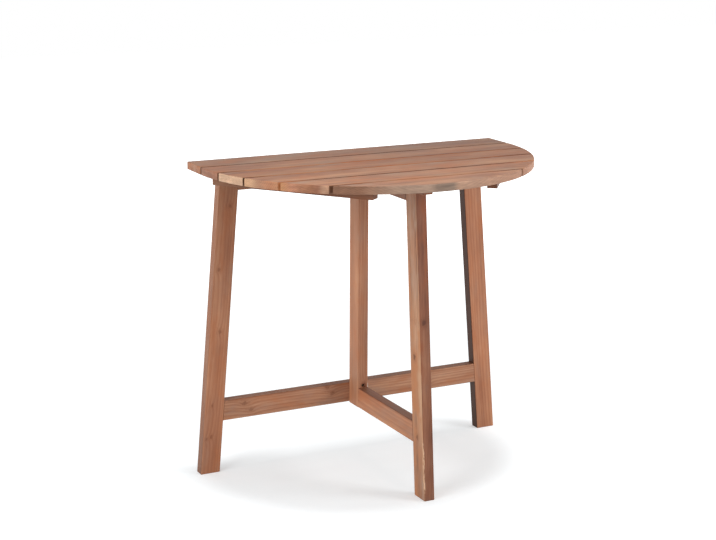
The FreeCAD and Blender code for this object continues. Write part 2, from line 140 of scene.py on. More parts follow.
class Tree:
    """A material's nodes, added and linked in one call each."""

    def __init__(self, name):
        self.material = bpy.data.materials.new(name)
        self.material.use_nodes = True
        self.nodes = self.material.node_tree.nodes
        self.links = self.material.node_tree.links
        self.shader = self.nodes["Principled BSDF"]

    def feed(self, socket, value):
        if isinstance(value, bpy.types.NodeSocket):
            self.links.new(value, socket)
        elif value is not None:
            socket.default_value = value

    def add(self, kind, **settings):
        node = self.nodes.new(kind)
        for key, value in settings.items():
            setattr(node, key, value)
        return node

    def math(self, operation, first, second=None, third=None, clamp=False):
        node = self.add("ShaderNodeMath", operation=operation, use_clamp=clamp)
        for socket, value in zip(node.inputs, (first, second, third)):
            self.feed(socket, value)
        return node.outputs[0]

    def vector(self, operation, first, second=None):
        node = self.add("ShaderNodeVectorMath", operation=operation)
        for socket, value in zip(node.inputs, (first, second)):
            self.feed(socket, value)
        return node.outputs["Value" if operation in ("DOT_PRODUCT", "LENGTH") else "Vector"]

    def noise(self, place, stretch, detail=2.0, roughness=0.5):
        """Noise between 0 and 1, with so many features per metre along each axis."""
        node = self.add("ShaderNodeTexNoise", noise_dimensions="3D")
        self.feed(node.inputs["Vector"], self.vector("MULTIPLY", place, stretch))
        node.inputs["Scale"].default_value = 1.0
        node.inputs["Detail"].default_value = detail
        node.inputs["Roughness"].default_value = roughness
        return node.outputs["Fac"], node.outputs["Color"]

    def spread(self, value, low, high, to_low=0.0, to_high=1.0, smooth=True):
        """A value between low and high, moved to the range from to_low to to_high and held there."""
        kind = "SMOOTHSTEP" if smooth else "LINEAR"
        node = self.add("ShaderNodeMapRange", interpolation_type=kind)
        for socket, number in zip(node.inputs[1:5], (low, high, to_low, to_high)):
            socket.default_value = number
        self.feed(node.inputs[0], value)
        return node.outputs[0]

    def ramp(self, value, stops):
        node = self.add("ShaderNodeValToRGB")
        elements = node.color_ramp.elements
        while len(elements) < len(stops):
            elements.new(0.5)
        for element, (place, colour) in zip(elements, stops):
            element.position = place
            element.color = colour
        self.feed(node.inputs["Fac"], value)
        return node.outputs["Color"]

    def mix(self, share, first, second, blend="MIX"):
        node = self.add("ShaderNodeMix", data_type="RGBA", blend_type=blend)
        self.feed(node.inputs["Factor"], share)
        self.feed(node.inputs["A"], first)
        self.feed(node.inputs["B"], second)
        return node.outputs["Result"]

    def bump(self, height, distance, strength):
        node = self.add("ShaderNodeBump")
        node.inputs["Strength"].default_value = strength
        node.inputs["Distance"].default_value = distance
        self.feed(node.inputs["Height"], height)
        self.feed(self.shader.inputs["Normal"], node.outputs["Normal"])


# The stain, from the palest early wood to the darkest streak, with the painted shade of the gaps at the
# rim and of the post's bore.
STAIN_PALE = (210, 156, 120)
STAIN_MID = (186, 130, 98)
STAIN_DEEP = (160, 105, 77)
STAIN_DARK = (112, 68, 47)
STAIN_GREY = (176, 137, 115)
STAIN_WARM = (188, 118, 78)
RIM_GAP_PAINTED_SHADE = (44, 26, 18)
STAIN_KNOT_AND_BORE_SHADE = (104, 62, 42)
STAIN_HALO_AND_BORE_SHADE = (150, 92, 62)
STAIN_EDGE = (150, 92, 64)
BARE_WOOD = (226, 186, 152)

# How strongly each pattern shows in the tone of the wood.
TONE_BASE = 0.30
RING_WEIGHT = 0.16
BAND_WEIGHT = 0.60
STREAK_WEIGHT = 0.60
FIBRE_WEIGHT = 0.35
BLOTCH_WEIGHT = 0.75
GREY_SHARE = 0.50
WARM_SHARE = 0.60
TONE_MID = 0.33
TONE_DEEP = 0.66
PATCH_MIDDLE = 0.50
PATCH_SPREAD = 0.20

# Noises: features per metre along, across and out of a board, then detail and roughness.
WANDER_NOISE = ((1.3, 6.0, 6.0), 2.0, 0.45)
KNOT_NOISE = ((190.0, 190.0, 190.0), 2.0)
FIBRE_NOISE = ((18.0, 700.0, 700.0), 2.0, 0.6)
STREAK_NOISE = ((4.0, 150.0, 150.0), 4.0, 0.65)
BAND_NOISE = ((1.6, 42.0, 42.0), 2.0, 0.5)
BLOTCH_NOISE = ((6.0, 19.0, 19.0), 3.0, 0.55)
PATCH_NOISE = ((9.0, 26.0, 26.0), 3.0, 0.6)
TORN_NOISE = ((70.0, 330.0, 330.0), 3.0, 0.6)
SAW_NOISE = ((34.0, 34.0, 190.0), 4.0, 0.6)
DOWEL_NOISE = ((420.0, 420.0, 160.0), 3.0, 0.6)
STEEL_NOISE = ((70.0, 70.0, 70.0), 3.0, 0.6)
FLOOR_NOISE = ((300.0, 300.0, 300.0), 2.0)
NOISE_LOW = 0.2
NOISE_HIGH = 0.8

# Growth rings: how far they wander, and where late wood starts, is full and drops, in shares of a ring.
WANDER_REACH = (0.0, 0.016, 0.016)
LATE_START = 0.2
LATE_FULL = 0.84
LATE_DROP = 0.88
SEED_JUMP = Vector((1.37, 0.61, 0.83))

# Knots, and the painted shade of the post's bore, in units of their half width.
KNOT_STRETCH = 1.35
KNOT_RIPPLE = 0.3
SWELL_FALL = -0.7
SWELL_REACH = 1.2
HALO_START = 2.6
HALO_FULL = 0.8
HALO_SHARE = 0.6
CORE_START = 1.2
CORE_FULL = 0.4

# A face counts as a side or an end as its normal leans from the first of these to the second.
SIDE_START = 0.55
SIDE_FULL = 0.85

# Surface of the stained wood.
RUBBED_LOW = 0.15
RUBBED_HIGH = 0.65
RUBBED_START = 0.35
RUBBED_FULL = 0.65
WOOD_ROUGHNESS = 0.48
FIBRE_ROUGHNESS = 0.18
LATE_ROUGHNESS = -0.06
WOOD_SPECULAR = 0.25
LATE_RELIEF = 0.6
WOOD_RELIEF = 0.0003
WOOD_RELIEF_SHARE = 0.35

# Raw wood of the dowels.
DOWEL_PALE = (222, 190, 148)
DOWEL_DEEP = (188, 148, 104)
DOWEL_LOW = 0.25
DOWEL_HIGH = 0.75
DOWEL_SMOOTHEST = 0.55
DOWEL_ROUGHEST = 0.75
DOWEL_RELIEF = 0.0002
DOWEL_RELIEF_SHARE = 0.3

# Plated steel of the hinges and screws: bright and dull colour, and the noise of the rolled lines.
HINGE_STEEL = ((214, 212, 204), (150, 148, 142), ((900.0, 120.0, 120.0), 3.0, 0.6))
SCREW_STEEL = ((206, 198, 176), (142, 132, 108), ((500.0, 500.0, 500.0), 3.0, 0.6))
ROLLED_WEIGHT = 0.5
STEEL_DULL_TONE = 0.3
STEEL_BRIGHT_TONE = 0.7
STEEL_ROUGH_LOW = 0.25
STEEL_ROUGH_HIGH = 0.75
STEEL_ROUGHEST = 0.46
STEEL_SMOOTHEST = 0.26
STEEL_RELIEF = 0.0001
STEEL_RELIEF_SHARE = 0.25


@dataclass
class Knot:
    """A knot, also used for the painted shade of a bore: its place along the board from the middle and
    across the face, half width and depth.
    """
    along: float
    across: float
    radius: float = 0.006
    depth: float = 0.9
    on_edge: bool = False


@dataclass
class Board:
    """How one board was sawn and stained, and the light and shade painted on it."""
    normal: tuple
    seed: int
    shade: float = 1.0
    tint: tuple = (1.0, 1.0, 1.0)
    pith: tuple = (0.03, -0.09)
    ring: float = 0.0034
    contrast: float = 1.0
    edge: tuple = (0.66, 0.66, 0.66)
    back_edge: tuple = (0.75, 0.75, 0.75)
    edge_fade: float = 0.0
    cut_shade: float = 0.9
    fade: float = 0.0
    knots: tuple = ()
    rim: tuple = None
    gap: tuple = RIM_GAP_PAINTED_SHADE
    chip: tuple = None


def ends_of(node):
    """The middles of a board's two ends, lower coordinate first."""
    low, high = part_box(node)
    size = high - low
    axis = max(range(3), key=lambda i: size[i])
    band = size[axis] * END_BAND_SHARE
    points = [v.co for v in NODES[node].data.vertices]
    first = [p for p in points if p[axis] < low[axis] + band]
    last = [p for p in points if p[axis] > high[axis] - band]
    middle = [sum(group, Vector()) / len(group) for group in (first, last)]
    middle[0][axis] = low[axis]
    middle[1][axis] = high[axis]
    return middle


def board_axes(node, normal):
    """A board's middle and its axes: along the grain, across the wide face, and out of it."""
    first, last = ends_of(node)
    along = (last - first).normalized()
    out = Vector(normal)
    out = (out - along * out.dot(along)).normalized()
    return (first + last) / 2, Matrix((along, out.cross(along), out))


def board_place(tree, node, board):
    """Coordinates in the board, and the point of the noise field that it was cut from."""
    middle, axes = board_axes(node, board.normal)
    coordinates = tree.add("ShaderNodeTexCoord")
    mapping = tree.add("ShaderNodeMapping", vector_type="POINT")
    mapping.inputs["Location"].default_value = -(axes @ middle)
    mapping.inputs["Rotation"].default_value = axes.to_euler("XYZ")
    tree.feed(mapping.inputs["Vector"], coordinates.outputs["Object"])
    place = mapping.outputs["Vector"]
    field = tree.vector("ADD", place, SEED_JUMP * board.seed)
    normal = coordinates.outputs["Normal"]
    ends, edges = (tree.vector("DOT_PRODUCT", normal, axis) for axis in axes[:2])
    return place, field, tree.math("ABSOLUTE", ends), edges


def length_of(tree, first, second):
    """Length of the vector with these two parts."""
    square = tree.math("ADD", tree.math("MULTIPLY", first, first), tree.math("MULTIPLY", second, second))
    return tree.math("SQRT", square)


def knot_distance(tree, along, aside, knot, ripple):
    """Distance from a knot in units of its half width, longer along the grain and uneven in outline."""
    first = tree.math("DIVIDE", tree.math("SUBTRACT", along, knot.along), knot.radius * KNOT_STRETCH)
    second = tree.math("DIVIDE", tree.math("SUBTRACT", aside, knot.across), knot.radius)
    return tree.math("ADD", length_of(tree, first, second), ripple)


def ring_wood(tree, place, field, board):
    """Share of late wood in the rings, which swell around the knots, and the distance from each knot."""
    _, wander = tree.noise(field, *WANDER_NOISE)
    sway = tree.vector("MULTIPLY", tree.vector("SUBTRACT", wander, (0.5, 0.5, 0.5)), WANDER_REACH)
    split = tree.add("ShaderNodeSeparateXYZ")
    tree.feed(split.inputs[0], tree.vector("ADD", place, sway))
    along, across, out = split.outputs
    uneven, _ = tree.noise(field, *KNOT_NOISE)
    ripple = tree.spread(uneven, NOISE_LOW, NOISE_HIGH, -KNOT_RIPPLE, KNOT_RIPPLE)
    distances = []
    for knot in board.knots:
        aside = out if knot.on_edge else across
        distances.append(knot_distance(tree, along, aside, knot, ripple))
    side = tree.math("SUBTRACT", across, board.pith[0])
    rise = tree.math("SUBTRACT", out, board.pith[1])
    radius = length_of(tree, side, rise)
    for knot, distance in zip(board.knots, distances):
        swell = tree.math("EXPONENT", tree.math("MULTIPLY", distance, SWELL_FALL))
        radius = tree.math("MULTIPLY_ADD", swell, knot.radius * SWELL_REACH, radius)
    rings = tree.math("FRACT", tree.math("DIVIDE", radius, board.ring))
    rise_late = tree.spread(rings, LATE_START, LATE_FULL)
    late = tree.math("MULTIPLY", rise_late, tree.spread(rings, 1.0, LATE_DROP))
    return late, distances


def stained_wood(node, board):
    """Stained softwood: growth rings around a pith, so that faces show bands and ends show arcs, with
    painted light and shade on some boards.
    """
    tree = Tree(f"wood_{node}")
    place, field, ends, edges = board_place(tree, node, board)
    late, distances = ring_wood(tree, place, field, board)
    fibres, _ = tree.noise(field, *FIBRE_NOISE)
    streaks, _ = tree.noise(field, *STREAK_NOISE)
    bands, _ = tree.noise(field, *BAND_NOISE)
    blotches, _ = tree.noise(field, *BLOTCH_NOISE)

    tone = tree.math("MULTIPLY_ADD", late, RING_WEIGHT * board.contrast, TONE_BASE)
    tone = tree.math("MULTIPLY_ADD", tree.math("MULTIPLY", late, ends), RING_WEIGHT, tone)
    for pattern, weight in (
        (bands, BAND_WEIGHT * board.contrast),
        (streaks, STREAK_WEIGHT * board.contrast),
        (fibres, FIBRE_WEIGHT),
        (blotches, BLOTCH_WEIGHT * max(board.contrast, 1.0)),
    ):
        tone = tree.math("MULTIPLY_ADD", tree.math("SUBTRACT", pattern, 0.5), weight, tone)
    colour = tree.ramp(tone, (
        (0.0, linear(*STAIN_PALE)),
        (TONE_MID, linear(*STAIN_MID)),
        (TONE_DEEP, linear(*STAIN_DEEP)),
        (1.0, linear(*STAIN_DARK)),
    ))
    patches, _ = tree.noise(field, *PATCH_NOISE)
    grey, warm = (min(share * board.contrast, 1.0) for share in (GREY_SHARE, WARM_SHARE))
    for share, way, stain in ((grey, 1, STAIN_GREY), (warm, -1, STAIN_WARM)):
        patch = tree.spread(patches, PATCH_MIDDLE, PATCH_MIDDLE + way * PATCH_SPREAD, 0.0, share)
        colour = tree.mix(patch, colour, linear(*stain))

    # Knots; on the post the same marks paint the shade in the screw bore.
    for knot, distance in zip(board.knots, distances):
        halo = tree.spread(distance, HALO_START, HALO_FULL)
        halo = tree.math("MULTIPLY", halo, HALO_SHARE * knot.depth)
        colour = tree.mix(halo, colour, linear(*STAIN_HALO_AND_BORE_SHADE))
        core = tree.math("MULTIPLY", tree.spread(distance, CORE_START, CORE_FULL), knot.depth)
        colour = tree.mix(core, colour, linear(*STAIN_KNOT_AND_BORE_SHADE))

    edge = edge_of(tree)
    uneven = tree.spread(streaks, RUBBED_START, RUBBED_FULL, RUBBED_LOW, RUBBED_HIGH)
    rubbed = tree.math("MULTIPLY", edge, uneven)
    colour = tree.mix(rubbed, colour, linear(*STAIN_EDGE))
    # Narrow sides darker or lighter, changing along the board with edge_fade; on the slats, rails,
    # battens and right leg these are painted light and shade.
    along = painted_light_along(tree, node, place, 1.0, board.edge_fade)
    for level, side in ((board.edge, -1), (board.back_edge, 1)):
        stain = tree.mix(1.0, colour, level + (1.0,), "MULTIPLY")
        stain = tree.mix(1.0, stain, along, "MULTIPLY")
        colour = tree.mix(tree.spread(edges, side * SIDE_START, side * SIDE_FULL), colour, stain)
    # The board's tone, with painted light and shade that change along it.
    colour = tree.mix(1.0, colour, painted_light_along(tree, node, place, board.shade, board.fade), "MULTIPLY")
    cut = tree.spread(ends, SIDE_START, SIDE_FULL, 1.0, board.cut_shade)
    colour = tree.mix(1.0, colour, cut, "MULTIPLY")
    colour = tree.mix(1.0, colour, board.tint + (1.0,), "MULTIPLY")
    if board.rim:
        colour = sawn_rim(tree, colour, tone, edges, board)
    if board.chip:
        colour = tree.mix(chipped(tree, place, board.chip), colour, linear(*BARE_WOOD))
    tree.feed(tree.shader.inputs["Base Color"], colour)

    rough = tree.math("MULTIPLY_ADD", fibres, FIBRE_ROUGHNESS, WOOD_ROUGHNESS)
    rough = tree.math("MULTIPLY_ADD", late, LATE_ROUGHNESS, rough)
    tree.feed(tree.shader.inputs["Roughness"], rough)
    tree.shader.inputs["Specular IOR Level"].default_value = WOOD_SPECULAR
    relief = tree.math("MULTIPLY_ADD", late, LATE_RELIEF, fibres)
    tree.bump(relief, WOOD_RELIEF, WOOD_RELIEF_SHARE)
    return tree.material


def painted_light_along(tree, node, place, shade, fade):
    """Painted light and shade along the board: how much lighter or darker it is from its first end to
    its last.
    """
    first, last = ends_of(node)
    half = (last - first).length / 2
    split = tree.add("ShaderNodeSeparateXYZ")
    tree.feed(split.inputs[0], place)
    first_shade = shade * (1 + fade)
    last_shade = shade * (1 - fade)
    return tree.spread(split.outputs[0], -half, half, first_shade, last_shade, smooth=False)


def edge_of(tree):
    """1 along a board's rounded edges and 0 on its faces."""
    geometry = tree.add("ShaderNodeNewGeometry")
    bevel = tree.add("ShaderNodeBevel", samples=BEVEL_SAMPLES)
    bevel.inputs["Radius"].default_value = EDGE_REACH
    alike = tree.vector("DOT_PRODUCT", bevel.outputs["Normal"], geometry.outputs["Normal"])
    return tree.spread(alike, FACE_ALIKE, EDGE_ALIKE)


def sawn_rim(tree, colour, tone, edges, board):
    """Paints the leaf's sawn round edge, which took the stain in its own way from left to right, and
    painted shade and light on the gap walls near the rim.
    """
    coordinates = tree.add("ShaderNodeTexCoord")
    arm = tree.vector("SUBTRACT", coordinates.outputs["Object"], LEAF_CENTRE)
    reach = tree.vector("LENGTH", tree.vector("MULTIPLY", arm, (1.0, 1.0, 0.0)))
    share = tree.spread(reach, LEAF_RADIUS - RIM_INNER, LEAF_RADIUS - RIM_OUTER)
    # Painted shade and light: the slats' front sides within reach of the rim take the gap colour.
    near_rim = tree.spread(reach, LEAF_RADIUS - GAP_INNER, LEAF_RADIUS - GAP_OUTER)
    gap = tree.math("MULTIPLY", tree.spread(edges, -SIDE_START, -SIDE_FULL), near_rim)
    colour = tree.mix(tree.math("MULTIPLY", gap, GAP_SHARE), colour, linear(*board.gap))
    split = tree.add("ShaderNodeSeparateXYZ")
    tree.feed(split.inputs[0], coordinates.outputs["Object"])
    along = tree.spread(split.outputs[0], -LEAF_RADIUS, LEAF_RADIUS, smooth=False)
    sawn = tree.ramp(along, [(place, linear(*level)) for place, level in board.rim])
    cut, _ = tree.noise(coordinates.outputs["Object"], *SAW_NOISE)
    cut = tree.math("MULTIPLY_ADD", tone, SAWN_TONE, cut)
    level = tree.spread(cut, SAWN_LOW, SAWN_HIGH, SAWN_PALE, SAWN_DARK)
    sawn = tree.mix(1.0, sawn, level, "MULTIPLY")
    return tree.mix(tree.math("MULTIPLY", share, RIM_SHARE), colour, sawn)


def chipped(tree, place, chip):
    """Share of bare wood along a chipped edge: its line across and out, and how far it runs along."""
    split = tree.add("ShaderNodeSeparateXYZ")
    tree.feed(split.inputs[0], place)
    along, across, out = split.outputs
    line_across, line_out, low, high = chip
    aside = tree.math("ABSOLUTE", tree.math("SUBTRACT", across, line_across))
    behind = tree.math("ABSOLUTE", tree.math("SUBTRACT", out, line_out))
    core = CHIP_REACH * CHIP_CORE
    share = tree.spread(aside, CHIP_REACH, core)
    share = tree.math("MULTIPLY", share, tree.spread(behind, CHIP_REACH, core))
    share = tree.math("MULTIPLY", share, tree.spread(along, low, low + CHIP_END))
    share = tree.math("MULTIPLY", share, tree.spread(along, high, high - CHIP_END))
    torn, _ = tree.noise(place, *TORN_NOISE)
    return tree.math("MULTIPLY", share, tree.spread(torn, CHIP_TORN_LOW, CHIP_TORN_HIGH))


def raw_wood(name):
    """Pale turned wood for the dowels."""
    tree = Tree(name)
    coordinates = tree.add("ShaderNodeTexCoord")
    fibres, _ = tree.noise(coordinates.outputs["Object"], *DOWEL_NOISE)
    colour = tree.ramp(fibres, (
        (DOWEL_LOW, linear(*DOWEL_PALE)),
        (DOWEL_HIGH, linear(*DOWEL_DEEP)),
    ))
    tree.feed(tree.shader.inputs["Base Color"], colour)
    rough = tree.spread(fibres, 0.0, 1.0, DOWEL_SMOOTHEST, DOWEL_ROUGHEST)
    tree.feed(tree.shader.inputs["Roughness"], rough)
    tree.bump(fibres, DOWEL_RELIEF, DOWEL_RELIEF_SHARE)
    return tree.material


def plated_steel(name, bright, dull, lines):
    """Zinc-plated steel with rolled lines, dull patches and fine scratches."""
    tree = Tree(name)
    coordinates = tree.add("ShaderNodeTexCoord")
    place = coordinates.outputs["Object"]
    rolled, _ = tree.noise(place, *lines)
    patches, _ = tree.noise(place, *STEEL_NOISE)
    tone = tree.math("MULTIPLY_ADD", tree.math("SUBTRACT", rolled, 0.5), ROLLED_WEIGHT, patches)
    colour = tree.ramp(tone, ((STEEL_DULL_TONE, linear(*dull)), (STEEL_BRIGHT_TONE, linear(*bright))))
    tree.feed(tree.shader.inputs["Base Color"], colour)
    tree.shader.inputs["Metallic"].default_value = 1.0
    rough = tree.spread(tone, STEEL_ROUGH_LOW, STEEL_ROUGH_HIGH, STEEL_ROUGHEST, STEEL_SMOOTHEST)
    tree.feed(tree.shader.inputs["Roughness"], rough)
    tree.bump(rolled, STEEL_RELIEF, STEEL_RELIEF_SHARE)
    return tree.material


LEG_KNOTS = (
    Knot(0.277, 0.0016, 0.0042, 0.32),
    Knot(0.129, 0.0168, 0.0040, 0.30),
    Knot(-0.018, 0.0024, 0.0044, 0.36),
    Knot(-0.195, 0.0063, 0.0030, 0.42),
    Knot(-0.271, 0.0041, 0.0036, 0.40),
    Knot(-0.276, 0.0163, 0.0032, 0.34),
)
STRETCHER_KNOTS = (
    Knot(-0.287, 0.009, 0.0056, 0.36),
    Knot(-0.271, -0.006, 0.0048, 0.32),
    Knot(-0.072, 0.018, 0.0050, 0.36),
    Knot(-0.059, 0.003, 0.0054, 0.34),
    Knot(0.205, -0.008, 0.0046, 0.25),
)
GATE_LEG_KNOTS = (
    Knot(-0.035, 0.000, 0.0056, 0.80),
    Knot(-0.219, -0.001, 0.0050, 0.65),
    Knot(0.046, 0.003, 0.0056, 0.75, on_edge=True),
)
SCREW_LOW, SCREW_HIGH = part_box("post_screw")
POST_LOW, POST_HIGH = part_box("gate_post")
# Painted shade in the post's screw bore, drawn as a dark knot mark over the hole.
BORE_PAINTED_SHADE_SHIFT = 0.0010
BORE_PAINTED_SHADE_RADIUS = 0.0048
BORE_PLACE = (SCREW_LOW + SCREW_HIGH - POST_LOW - POST_HIGH) / 2
POST_BORE_PAINTED_SHADE = (
    Knot(BORE_PLACE.z, -BORE_PLACE.x - BORE_PAINTED_SHADE_SHIFT, BORE_PAINTED_SHADE_RADIUS, 1.0, on_edge=True),
)
RIM_1 = ((0.2, (168, 118, 94)), (0.8, (172, 122, 96)))
RIM_2 = ((0.2, (230, 190, 158)), (0.5, (176, 126, 98)))
RIM_3 = (
    (0.055, (224, 178, 140)), (0.066, (196, 146, 116)), (0.085, (192, 132, 98)),
    (0.098, (196, 140, 104)), (0.5, (178, 126, 98)),
)
RIM_4 = (
    (0.105, (208, 148, 102)), (0.125, (202, 140, 110)), (0.145, (180, 124, 92)), (0.165, (166, 112, 82)),
    (0.178, (168, 114, 88)), (0.186, (206, 160, 130)), (0.3, (182, 118, 80)), (0.7, (180, 130, 102)),
)
RIM_5 = (
    (0.27, (150, 108, 84)), (0.36, (180, 148, 126)), (0.45, (182, 152, 132)),
    (0.47, (142, 120, 104)), (0.52, (142, 120, 104)), (0.54, (192, 152, 126)), (0.75, (180, 134, 108)),
)
UPWARD = (0.0, 0.0, 1.0)
FORWARD = (0.0, -1.0, 0.0)
LEFTWARD = (-1.0, 0.0, 0.0)
# Levels for narrow sides. Painted light and shade in the gaps between slats: a slat's front side is the
# far wall of the gap in front of it, painted lighter to make that gap faint, or darker to make it dark.
GAP_WALL_PAINTED_LIGHT = (1.25, 1.2, 1.1)
PALE_EDGE = (0.85, 0.85, 0.85)
GAP_WALL_PAINTED_SHADE = (0.3, 0.3, 0.3)
INNER_SIDE_PAINTED_SHADE = (0.15, 0.13, 0.12)
BATTEN_SIDE_PAINTED_SHADE = (0.5, 0.45, 0.45)
BOARDS = {
    # The slats' shade and fade paint a light gradient over the top, lighter at the front and left,
    # darker at the back and right; their edge levels and gap colours paint the light and shade in the
    # gaps.
    "rear_slat": Board(
        UPWARD, seed=1, shade=0.54, tint=(0.97, 1.01, 1.02), pith=(0.05, -0.08),
        contrast=1.6, edge=GAP_WALL_PAINTED_SHADE, cut_shade=1.6, fade=0.16,
    ),
    "leaf_slat_1": Board(
        UPWARD, seed=2, shade=0.60, tint=(1.04, 0.98, 0.89), pith=(-0.06, -0.07),
        contrast=1.7, edge=GAP_WALL_PAINTED_LIGHT, fade=0.11, rim=RIM_1,
    ),
    "leaf_slat_2": Board(
        UPWARD, seed=3, shade=0.59, tint=(1.09, 0.99, 0.85), pith=(0.02, -0.07),
        contrast=1.7, edge=GAP_WALL_PAINTED_LIGHT, fade=0.06, rim=RIM_2,
    ),
    "leaf_slat_3": Board(
        UPWARD, seed=4, shade=0.72, tint=(1.03, 1.0, 0.92), pith=(0.07, -0.05),
        contrast=1.7, edge=GAP_WALL_PAINTED_SHADE, fade=0.09, rim=RIM_3, gap=(196, 124, 78),
    ),
    "leaf_slat_4": Board(
        UPWARD, seed=5, shade=0.83, tint=(1.01, 1.0, 0.94), pith=(-0.05, -0.06),
        contrast=1.7, edge=PALE_EDGE, fade=0.10, rim=RIM_4, gap=(84, 52, 34),
    ),
    "leaf_slat_5": Board(
        UPWARD, seed=6, shade=0.89, tint=(0.98, 1.02, 1.02), pith=(0.06, -0.08),
        contrast=1.7, edge=PALE_EDGE, fade=0.06, rim=RIM_5,
    ),
    # Painted shade darkens the leg towards its upper end under the top (fade); its left side is paler at
    # the top and darker at the bottom (edge_fade).
    "left_leg": Board(
        FORWARD, seed=7, shade=0.755, tint=(1.02, 0.98, 0.96), pith=(0.05, -0.08), contrast=0.9,
        edge=PALE_EDGE, back_edge=(0.88, 0.9, 0.93), edge_fade=-0.34, fade=0.24, knots=LEG_KNOTS,
    ),
    # The right leg's inner side (back_edge) is painted shade, near black.
    "right_leg": Board(
        FORWARD, seed=8, shade=0.78, tint=(1.05, 0.97, 0.92), pith=(-0.05, -0.07),
        contrast=0.9, back_edge=INNER_SIDE_PAINTED_SHADE,
    ),
    "upper_rail": Board(FORWARD, seed=9, shade=0.70),
    # Painted shade under the top: the stretcher's top side is darker (back_edge), darker from its left
    # end to its right (edge_fade), and the fade darkens the whole stretcher a little to the right.
    "lower_stretcher": Board(
        FORWARD, seed=10, shade=0.83, tint=(0.96, 1.0, 1.04), pith=(-0.05, -0.08), contrast=1.3,
        back_edge=(0.70, 0.66, 0.60), edge_fade=0.12, fade=0.04, knots=STRETCHER_KNOTS,
    ),
    # A little painted shade darkens the post towards its top (fade), and the dark mark at its screw bore
    # is painted shade.
    "gate_post": Board(
        LEFTWARD, seed=11, shade=1.03, tint=(1.0, 0.99, 0.97), pith=(0.06, -0.05),
        contrast=0.9, edge=(0.68, 0.67, 0.68), fade=0.04, knots=POST_BORE_PAINTED_SHADE,
    ),
    "gate_leg": Board(
        LEFTWARD, seed=12, shade=1.08, tint=(0.97, 1.13, 1.21), pith=(-0.06, -0.06), contrast=1.6,
        edge=(0.455, 0.335, 0.302), knots=GATE_LEG_KNOTS, chip=(-0.0235, 0.0125, -0.345, -0.225),
    ),
    # Painted shade under the top: the gate's upper rail is partly darker for it (shade), and the lower
    # rail's top side is darker (edge).
    "gate_upper_rail": Board(LEFTWARD, seed=13, shade=0.70),
    "gate_lower_rail": Board(
        LEFTWARD, seed=14, shade=1.0, tint=(1.04, 1.0, 0.96), contrast=1.1, edge=(0.45, 0.42, 0.4),
    ),
    # The battens' low shade, dark sides and dark ends are partly their tone and partly painted shade
    # under the top.
    "left_batten": Board(UPWARD, seed=15, shade=0.60, edge=BATTEN_SIDE_PAINTED_SHADE, cut_shade=0.6),
    "right_batten": Board(UPWARD, seed=16, shade=0.60, edge=BATTEN_SIDE_PAINTED_SHADE, cut_shade=0.6),
    "stop_block": Board(UPWARD, seed=17, shade=0.65),
}
DOWEL_NODES = ("frame_dowels", "gate_dowels")
SCREW_NODES = (
    "rear_slat_screws", "frame_hinge_screws", "batten_screws", "stop_block_screws",
    "leaf_hinge_screws", "post_screw", "gate_hinge_screws",
)


def dress(node, material):
    """Gives a node its material and smooth shading over its rounded edges."""
    mesh = NODES[node].data
    mesh.materials.clear()
    mesh.materials.append(material)
    mesh.shade_smooth()
    mesh.set_sharp_from_angle(angle=SMOOTH_ANGLE)


def islands_of(node):
    """The separate solids in a node's mesh, as lists of points."""
    work = bmesh.new()
    work.from_mesh(NODES[node].data)
    bmesh.ops.remove_doubles(work, verts=work.verts, dist=ISLAND_MERGE)
    left = set(work.verts)
    islands = []
    while left:
        queue = [left.pop()]
        points = []
        while queue:
            vertex = queue.pop()
            points.append(vertex.co.copy())
            for edge in vertex.link_edges:
                other = edge.other_vert(vertex)
                if other in left:
                    left.remove(other)
                    queue.append(other)
        islands.append(points)
    work.free()
    return sorted(islands, key=lambda points: tuple(round(c, 5) for c in min(points, key=tuple)))


def screw_outline(points):
    """A screw's axis out of its head, its middle line's foot, and its radius at each height."""
    low = Vector(min(p[i] for p in points) for i in range(3))
    high = Vector(max(p[i] for p in points) for i in range(3))
    size = high - low
    axis = max(range(3), key=lambda i: size[i])
    line = (low + high) / 2
    out = Vector((0.0, 0.0, 0.0))
    out[axis] = 1.0
    def reach(point):
        arm = point - line
        return (arm - out * arm.dot(out)).length
    wide = max(points, key=reach)
    if (wide - line).dot(out) < 0:
        out = -out
    heights = {}
    for point in points:
        height = round((point - line).dot(out), 6)
        heights[height] = max(heights.get(height, 0.0), reach(point))
    return line, out, sorted(heights.items())


def ring_of(work, radius, height):
    step = 2 * math.pi / HEAD_SIDES
    return [work.verts.new((radius * math.cos(i * step), radius * math.sin(i * step), height))
            for i in range(HEAD_SIDES)]


def cross_of(work, arm, half, height):
    """The twelve corners of a cross recess, in turn."""
    corner = ((arm, -half), (arm, half), (half, half))
    points = []
    for quarter in range(4):
        turn = Matrix.Rotation(quarter * math.pi / 2, 2)
        points += [turn @ Vector(c) for c in corner]
    return [work.verts.new((p.x, p.y, height)) for p in points]


def join_rings(work, first, second):
    count = len(first)
    for i in range(count):
        j = (i + 1) % count
        work.faces.new((first[i], first[j], second[j], second[i]))


